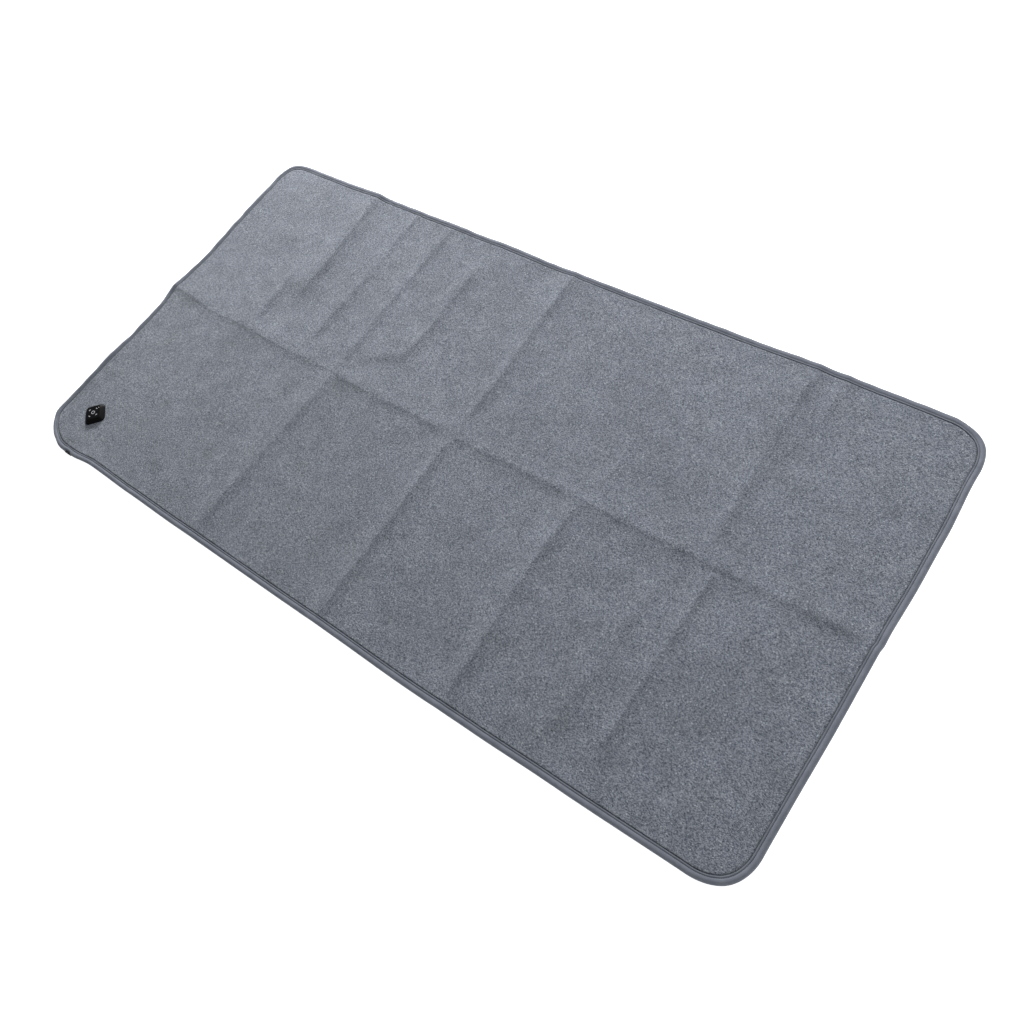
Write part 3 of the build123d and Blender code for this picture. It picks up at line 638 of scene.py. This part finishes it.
def binding_tape():
    material, tree, shader = new_material("binding tape", (0.19, 0.208, 0.25), 0.8, Sheen_Weight=0.12,
                                          Specular_IOR_Level=0.3)
    where = node(tree, "ShaderNodeUVMap", uv_map="tape").outputs["UV"]
    weave = place_group(tree, WEAVE, Vector=where, Rib_pitch=0.0011, Yarn_pitch=0.0007)
    place = node(tree, "ShaderNodeTexCoord").outputs["Object"]
    streaks = spread(tree, noise(tree, place, 60, 4, 0.6), 0.3, 0.7)
    colour = blend_colour(tree, "MIX", streaks, (0.17, 0.188, 0.228), (0.215, 0.232, 0.275))
    # Painted shade: the colour is darkened between the yarns.
    colour = blend_colour(tree, "MULTIPLY", math(tree, "MULTIPLY", weave["Gap shade"], 0.6), colour,
                          (0.55, 0.56, 0.6))
    join(tree, colour, shader.inputs["Base Color"])
    join(tree, bump(tree, weave["Height"], 0.0003, 0.5), shader.inputs["Normal"])
    return material


def seam_thread():
    material, tree, shader = new_material("seam thread", (0.045, 0.05, 0.06), 0.6, Sheen_Weight=0.2)
    where = node(tree, "ShaderNodeTexCoord").outputs["Object"]
    ply = place_group(tree, FIBRES, Vector=where, Fibre_size=0.0004, Contrast=0.8,
                      Dark=(0.028, 0.032, 0.042), Light=(0.075, 0.083, 0.1))
    join(tree, ply["Color"], shader.inputs["Base Color"])
    join(tree, bump(tree, ply["Height"], 0.0001, 0.6), shader.inputs["Normal"])
    return material


def moulded(name, colour, roughness, grain=0.0004, depth=0.00003, worn=(1.5, 1.5, 1.5), **sockets):
    """Moulded plastic or rubber, slightly paler where it has been handled."""
    material, tree, shader = new_material(name, colour, roughness, **sockets)
    where = node(tree, "ShaderNodeTexCoord").outputs["Object"]
    grain_out = place_group(tree, GRAIN, Vector=where, Grain_size=grain, Roughness=roughness, Wear=0.2)
    paler = tuple(min(1.0, c * w) for c, w in zip(colour, worn))
    patches = spread(tree, grain_out["Patches"], 0.35, 0.75)
    join(tree, blend_colour(tree, "MIX", patches, colour, paler), shader.inputs["Base Color"])
    join(tree, grain_out["Roughness"], shader.inputs["Roughness"])
    join(tree, bump(tree, grain_out["Height"], depth, 0.7), shader.inputs["Normal"])
    return material


def metal(name, colour, roughness):
    material = moulded(name, colour, roughness, 0.0006, 0.00001, (0.82, 0.82, 0.82))
    material.node_tree.nodes["Principled BSDF"].inputs["Metallic"].default_value = 1.0
    return material


FELT = heather_felt()
BACKING = backing_cloth()
TAPE = binding_tape()
THREAD = seam_thread()
CASE = moulded("controller plastic", (0.0045, 0.0046, 0.005), 0.42, worn=(1.5, 1.5, 1.5),
               Specular_IOR_Level=0.1)
BUTTON = moulded("button plastic", (0.004, 0.004, 0.0045), 0.34, 0.0006, 0.00001, Specular_IOR_Level=0.16)
# The ring, level windows, status window and LEDs carry a faint painted glow: an even emission that makes
# these pale windows read brighter.
PAINTED_GLOW = moulded("painted glow window", (0.5, 0.51, 0.53), 0.35, 0.0005, 0.000005, (0.9, 0.9, 0.9),
                Emission_Color=(0.85, 0.9, 1.0, 1), Emission_Strength=0.14)
NODE_MATERIALS = [
    (("controller_base", "controller_cover"), CASE),
    (("control_button",), BUTTON),
    (("button_light_ring", "level_windows", "status_window", "indicator_leds"), PAINTED_GLOW),
    (("cover_gasket", "lead_grommet"), moulded("seal rubber", (0.02, 0.02, 0.02), 0.75)),
    (("inlet_housing",), moulded("inlet plastic", (0.012, 0.012, 0.013), 0.45)),
    (("clamp_plate",), moulded("clamp plastic", (0.05, 0.05, 0.05), 0.5)),
    (("switch_plunger",), moulded("plunger plastic", (0.04, 0.04, 0.04), 0.4)),
    (("thermal_cutout_near", "thermal_cutout_far", "switch_body", "control_chip", "power_transistors"),
     moulded("component black", (0.02, 0.02, 0.02), 0.55, 0.0003)),
    (("temperature_sensor_near", "temperature_sensor_far"),
     moulded("sensor sleeve", (0.75, 0.73, 0.66), 0.4, worn=(0.85, 0.84, 0.8))),
    (("sensor_leads_near", "sensor_lead_far", "output_leads", "power_leads"),
     moulded("lead silicone", (0.35, 0.05, 0.04), 0.45, worn=(0.8, 0.8, 0.8))),
    (("circuit_board",), moulded("board laminate", (0.02, 0.16, 0.08), 0.35, 0.0005, worn=(0.8, 0.8, 0.8))),
    (("output_crimps",), metal("crimp copper", (0.72, 0.36, 0.2), 0.35)),
    (("inlet_contacts",), metal("contact brass", (0.8, 0.62, 0.3), 0.3)),
    (("clamp_screws",), metal("screw steel", (0.6, 0.6, 0.6), 0.35)),
]
for names, material in NODE_MATERIALS:
    for name in names:
        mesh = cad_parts[name].data
        mesh.materials.clear()
        mesh.materials.append(material)


# ---- Felt pad and backing ----
crease_places = sorted({point[0] * MM for crease in CROSS_CREASES for point in crease["route"][1:-1]}
                       | {crease["route"][0][0] * MM for crease in CROSS_CREASES[:6]})
field_x, field_y = half_length - FIELD_INSET, half_width - FIELD_INSET
notch_marks = [inlet_x - NOTCH_WIDTH / 2 - 1 * MM, inlet_x - NOTCH_WIDTH / 2,
               inlet_x + NOTCH_WIDTH / 2, inlet_x + NOTCH_WIDTH / 2 + 1 * MM]


def field_lines(coarse, fine, fold_step):
    stops = [-field_x, -corner_x, *notch_marks, corner_x, field_x]
    xs = spaced(stops, coarse, fine, crease_places, 14 * MM)
    ys = spaced([-field_y, -corner_y, 0, corner_y, field_y], coarse, fold_step, [0], 22 * MM)
    return xs, ys


# Insets and heights in millimetres, from the field round the edge to the underside.
PAD_RIM = [
    (34, 7.5), (29, 7.54), (25, 7.64), (22, 7.78), (19.8, 7.9), (18.0, 7.92), (16.7, 7.7), (15.9, 7.2),
    (15.5, 6.2), (15.3, 5.0), (14.2, 4.8), (13.0, 5.6), (11, 6.0), (9, 6.6), (6, 6.9), (3.6, 6.6),
    (1.9, 5.6), (1.1, 4.4), (1.1, 3.2), (1.7, 2.2), (3, 1.7), (8, 1.6), (16, 1.55), (28, 1.55)]
BACKING_RIM = [
    (30, 1.62), (18, 1.62), (12, 1.66), (6, 1.7), (3.4, 1.9), (2.4, 1.9), (2.0, 1.6), (2.4, 1.2), (3.4, 1.0),
    (6, 0.92), (11, 0.92), (13.6, 0.9), (14.2, 0.5), (15, 0.1), (17, 0.0), (24, 0.0), (32, 0.0)]

xs, ys = field_lines(10.5 * MM, 3.6 * MM, 1.7 * MM)
pad = layer("felt_pad", xs, ys, felt_top, BACKING_TOP - 0.05 * MM, PAD_RIM, FELT)
xs, ys = field_lines(15 * MM, 7 * MM, 2.4 * MM)
backing = layer("backing_cloth", xs, ys, BACKING_TOP, 0.0, BACKING_RIM, BACKING)

# ---- Edge binding ----
# Insets and heights in millimetres: over the outside from the inner edge above to the one below, then
# back through the inside of the fold.
TAPE_OUTSIDE = [
    (14.3, 6.7), (14.3, 7.4), (13.8, 7.8), (12.9, 7.86), (12.1, 7.66), (11.5, 7.14), (11, 6.9), (10.5, 7.14),
    (9.9, 7.75), (8.8, 8.3), (7.2, 8.66), (5.4, 8.62), (3.6, 8.15), (2.2, 7.35), (1.1, 6.3), (0.35, 5.1),
    (0.1, 3.8), (0.4, 2.5), (1.2, 1.25), (2.5, 0.35), (4.2, 0.03), (8, 0.0), (10.1, 0.03), (10.7, 0.2),
    (11, 0.3), (11.3, 0.2), (12, 0.04), (14.1, 0.15), (14.3, 0.5)]
TAPE_INSIDE = [
    (13.8, 0.86), (11, 1.0), (9, 0.84), (4.6, 0.86), (3, 1.15), (1.9, 2.0), (1.2, 2.9), (0.95, 3.8),
    (1.2, 4.8), (1.9, 5.9), (3, 6.75), (4.6, 7.4), (6.4, 7.75), (8.2, 7.5), (9.5, 6.9), (11, 6.1),
    (12.4, 6.6), (13.6, 6.7)]
TAPE_SECTION = np.array(TAPE_OUTSIDE + TAPE_INSIDE) * MM


def tape_thickening(route, section):
    """The tape's own unevenness: soft thick and thin places, and small gathers round the corners."""
    x, y = route[:, 0], route[:, 1]
    turn = smooth((np.abs(x) - corner_x + 0.01) / 0.02) * smooth((np.abs(y) - corner_y + 0.01) / 0.02)
    along = np.concatenate([[0], np.cumsum(np.hypot(*np.diff(route, axis=0).T))])
    puff = 0.25 * np.sin(along / 0.021 + 2 * np.sin(along / 0.13)) + 0.25 * np.sin(along / 0.057 + 1)
    gather = np.sin(along * 2 * pi / 0.0085 + 1.4 * np.sin(along / 0.019))
    raised = np.clip((section[:, 1] - 3.8 * MM) / (4.4 * MM), 0, 1)
    bulge = raised * smooth((SEAM_INSET - section[:, 0]) / (6 * MM))
    return ((0.34 * puff + 0.22 * gather * turn) * MM)[:, None] * bulge[None, :]


route, away = edge_route(5 * MM, crease_places, 3 * MM)
count, around = len(route), len(TAPE_SECTION)
lift = tape_thickening(route, TAPE_SECTION)
inset, height = TAPE_SECTION.T
tape_points = np.stack([route[:, None, 0] - away[:, None, 0] * inset[None, :],
                        route[:, None, 1] - away[:, None, 1] * inset[None, :],
                        height[None, :] + lift], axis=-1).reshape(-1, 3)
index = np.arange(count * around).reshape(count, around)
onward, up = np.roll(index, -1, axis=0), np.roll(index, -1, axis=1)
tape_faces = np.stack([index, up, np.roll(onward, -1, axis=1), onward], axis=-1).reshape(-1, 4)
binding = add_piece("edge_binding", drape(tape_points), tape_faces.tolist(), TAPE)
along = np.concatenate([[0], np.cumsum(np.hypot(*(np.roll(route, -1, axis=0) - route).T))])
across = np.concatenate([[0], np.cumsum(np.hypot(*(np.roll(TAPE_SECTION, -1, axis=0) - TAPE_SECTION).T))])
uv = binding.data.uv_layers.new(name="tape")
corners = np.empty((count, around, 4, 2))
corners[..., 0, 0] = corners[..., 1, 0] = along[:-1, None]
corners[..., 2, 0] = corners[..., 3, 0] = along[1:, None]
corners[..., 0, 1] = corners[..., 3, 1] = across[None, :-1]
corners[..., 1, 1] = corners[..., 2, 1] = across[None, 1:]
uv.data.foreach_set("uv", corners.ravel())


# ---- Stitches ----
def wire(name, points):
    """A closed line of edges through the points."""
    mesh = bpy.data.meshes.new(name)
    mesh.from_pydata([tuple(p) for p in points], [(i, (i + 1) % len(points)) for i in range(len(points))], [])
    made = bpy.data.objects.new(name, mesh)
    bpy.context.scene.collection.objects.link(made)
    return made


def stitch_tree():
    """Stitches of one length along a line, each turned a little its own way."""
    tree = bpy.data.node_groups.new("stitch row", "GeometryNodeTree")
    face = tree.interface
    face.new_socket(name="Line", in_out="INPUT", socket_type="NodeSocketGeometry")
    for label, value in (("Pitch", 0.0036), ("Stitch length", 0.003), ("Thread radius", 0.0004),
                         ("Unevenness", 0.12)):
        face.new_socket(name=label, in_out="INPUT", socket_type="NodeSocketFloat").default_value = value
    face.new_socket(name="Seed", in_out="INPUT", socket_type="NodeSocketInt").default_value = 3
    face.new_socket(name="Thread", in_out="INPUT", socket_type="NodeSocketMaterial")
    face.new_socket(name="Stitches", in_out="OUTPUT", socket_type="NodeSocketGeometry")
    given = tree.nodes.new("NodeGroupInput").outputs
    result = tree.nodes.new("NodeGroupOutput").inputs
    line = tree.nodes.new("GeometryNodeMeshToCurve")
    join(tree, given["Line"], line.inputs["Mesh"])
    paced = tree.nodes.new("GeometryNodeResampleCurve")
    paced.mode = "LENGTH"
    join(tree, line.outputs[0], paced.inputs["Curve"])
    join(tree, given["Pitch"], paced.inputs["Length"])
    bead = tree.nodes.new("GeometryNodeMeshUVSphere")
    bead.inputs["Segments"].default_value = 6
    bead.inputs["Rings"].default_value = 5
    bead.inputs["Radius"].default_value = 1.0
    shape = tree.nodes.new("ShaderNodeCombineXYZ")
    half = tree.nodes.new("ShaderNodeMath")
    half.operation = "MULTIPLY"
    half.inputs[1].default_value = 0.5
    join(tree, given["Stitch length"], half.inputs[0])
    join(tree, half.outputs[0], shape.inputs["Z"])
    join(tree, given["Thread radius"], shape.inputs["X"])
    join(tree, given["Thread radius"], shape.inputs["Y"])
    tangent = tree.nodes.new("GeometryNodeInputTangent")
    stray = tree.nodes.new("FunctionNodeRandomValue")
    stray.data_type = "FLOAT_VECTOR"
    low = tree.nodes.new("ShaderNodeVectorMath")
    low.operation = "SCALE"
    low.inputs[0].default_value = (-1, -1, -0.3)
    high = tree.nodes.new("ShaderNodeVectorMath")
    high.operation = "SCALE"
    high.inputs[0].default_value = (1, 1, 0.3)
    for end, socket in ((low, 0), (high, 1)):
        join(tree, given["Unevenness"], end.inputs["Scale"])
        join(tree, end.outputs[0], stray.inputs[socket])
    join(tree, given["Seed"], stray.inputs["Seed"])
    aim = tree.nodes.new("ShaderNodeVectorMath")
    aim.operation = "ADD"
    join(tree, tangent.outputs[0], aim.inputs[0])
    join(tree, stray.outputs[0], aim.inputs[1])
    turn = tree.nodes.new("FunctionNodeAlignRotationToVector")
    turn.axis = "Z"
    join(tree, aim.outputs[0], turn.inputs["Vector"])
    sown = tree.nodes.new("GeometryNodeInstanceOnPoints")
    join(tree, paced.outputs[0], sown.inputs["Points"])
    join(tree, bead.outputs["Mesh"], sown.inputs["Instance"])
    join(tree, turn.outputs[0], sown.inputs["Rotation"])
    join(tree, shape.outputs[0], sown.inputs["Scale"])
    real = tree.nodes.new("GeometryNodeRealizeInstances")
    join(tree, sown.outputs[0], real.inputs[0])
    round_ = tree.nodes.new("GeometryNodeSetShadeSmooth")
    join(tree, real.outputs[0], round_.inputs[0])
    dyed = tree.nodes.new("GeometryNodeSetMaterial")
    join(tree, round_.outputs[0], dyed.inputs["Geometry"])
    join(tree, given["Thread"], dyed.inputs["Material"])
    join(tree, dyed.outputs[0], result["Stitches"])
    return tree


def grown(base, tree, values):
    """The mesh that a Geometry Nodes tree makes from base, whose object is removed."""
    modifier = base.modifiers.new("grown", "NODES")
    modifier.node_group = tree
    for item in tree.interface.items_tree:
        if item.in_out == "INPUT" and item.name in values:
            modifier[item.identifier] = values[item.name]
    bpy.context.view_layer.update()
    evaluated = base.evaluated_get(bpy.context.evaluated_depsgraph_get())
    mesh = bpy.data.meshes.new_from_object(evaluated)
    base.modifiers.remove(modifier)
    bpy.data.objects.remove(base)
    return mesh


STITCHES = stitch_tree()
seam_route, seam_away = edge_route(2.5 * MM)
rows = []
for label, height, seed in (("above", 7.12 * MM, 3), ("below", 0.22 * MM, 4)):
    flat = np.column_stack([seam_route - seam_away * SEAM_INSET, np.full(len(seam_route), height)])
    line = wire("seam_line_" + label, drape(flat))
    rows.append(grown(line, STITCHES, {"Pitch": 0.0036, "Stitch length": 0.0031, "Thread radius": 0.00042,
                                       "Unevenness": 0.1, "Seed": seed, "Thread": THREAD}))
sewn = bmesh.new()
for row in rows:
    sewn.from_mesh(row)
seam_mesh = bpy.data.meshes.new("binding_stitches")
sewn.to_mesh(seam_mesh)
sewn.free()
seam_mesh.materials.append(THREAD)
for polygon in seam_mesh.polygons:
    polygon.use_smooth = True
    polygon.material_index = 0
stitches = bpy.data.objects.new("binding_stitches", seam_mesh)
bpy.context.scene.collection.objects.link(stitches)

# ---- The CAD layers that each piece stands for, which are hidden ----
HIDDEN_LAYERS = ("felt_face", "wadding", "reflective_foil", "heater_carrier", "carbon_film", "busbars",
                 "link_braids", "feed_ribbon", "return_ribbon")
for piece, layers, finish in (
        (pad, HIDDEN_LAYERS, "heather_felt"), (backing, ("backing_cloth",), "backing_cloth"),
        (binding, ("edge_binding",), "binding_tape"), (stitches, ("binding_seam",), "seam_thread")):
    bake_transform(piece)
    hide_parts(*(f"{kind}_{half}" for kind in layers for half in ("near", "far")))

# ---- Floor, light and camera ----
floor_mesh = bpy.data.meshes.new("floor")
floor_mesh.from_pydata([(-40, -40, 0), (40, -40, 0), (40, 40, 0), (-40, 40, 0)], [], [(0, 1, 2, 3)])
floor = bpy.data.objects.new("floor", floor_mesh)
floor.location.z = -0.0006
bpy.context.scene.collection.objects.link(floor)
paper, tree, shader = new_material("pale floor", (0.86, 0.86, 0.865), 0.9, Emission_Color=(1, 1, 1, 1),
                                   Emission_Strength=0.92)
floor_mesh.materials.append(paper)


def soft_light(name, place, aim, size, power, colour=(1, 1, 1)):
    light = bpy.data.lights.new(name, "AREA")
    light.shape = "DISK"
    light.size = size
    light.energy = power
    light.color = colour
    made = bpy.data.objects.new(name, light)
    made.location = place
    made.rotation_euler = (Vector(aim) - Vector(place)).to_track_quat("-Z", "Y").to_euler()
    bpy.context.scene.collection.objects.link(made)


soft_light("key", (-2.2, 2.2, 1.25), (0, 0, 0), 0.8, 120)
soft_light("fill", (1.3, 1.1, 2.6), (1.3, 1.1, 0), 2.2, 42)
world = bpy.data.worlds.new("studio")
world.use_nodes = True
world.node_tree.nodes["Background"].inputs["Color"].default_value = (0.97, 0.985, 1.0, 1)
world.node_tree.nodes["Background"].inputs["Strength"].default_value = 0.22
bpy.context.scene.world = world
bpy.context.scene.view_settings.view_transform = "Standard"

camera = bpy.data.cameras.new("camera")
camera.sensor_width = 36
camera.lens = 33.2
viewer = bpy.data.objects.new("camera", camera)
viewer.location = (0.99993, -0.57426, 1.547)
viewer.rotation_euler = (radians(28.48), radians(12.865), radians(35.828))
bpy.context.scene.collection.objects.link(viewer)
bpy.context.scene.camera = viewer
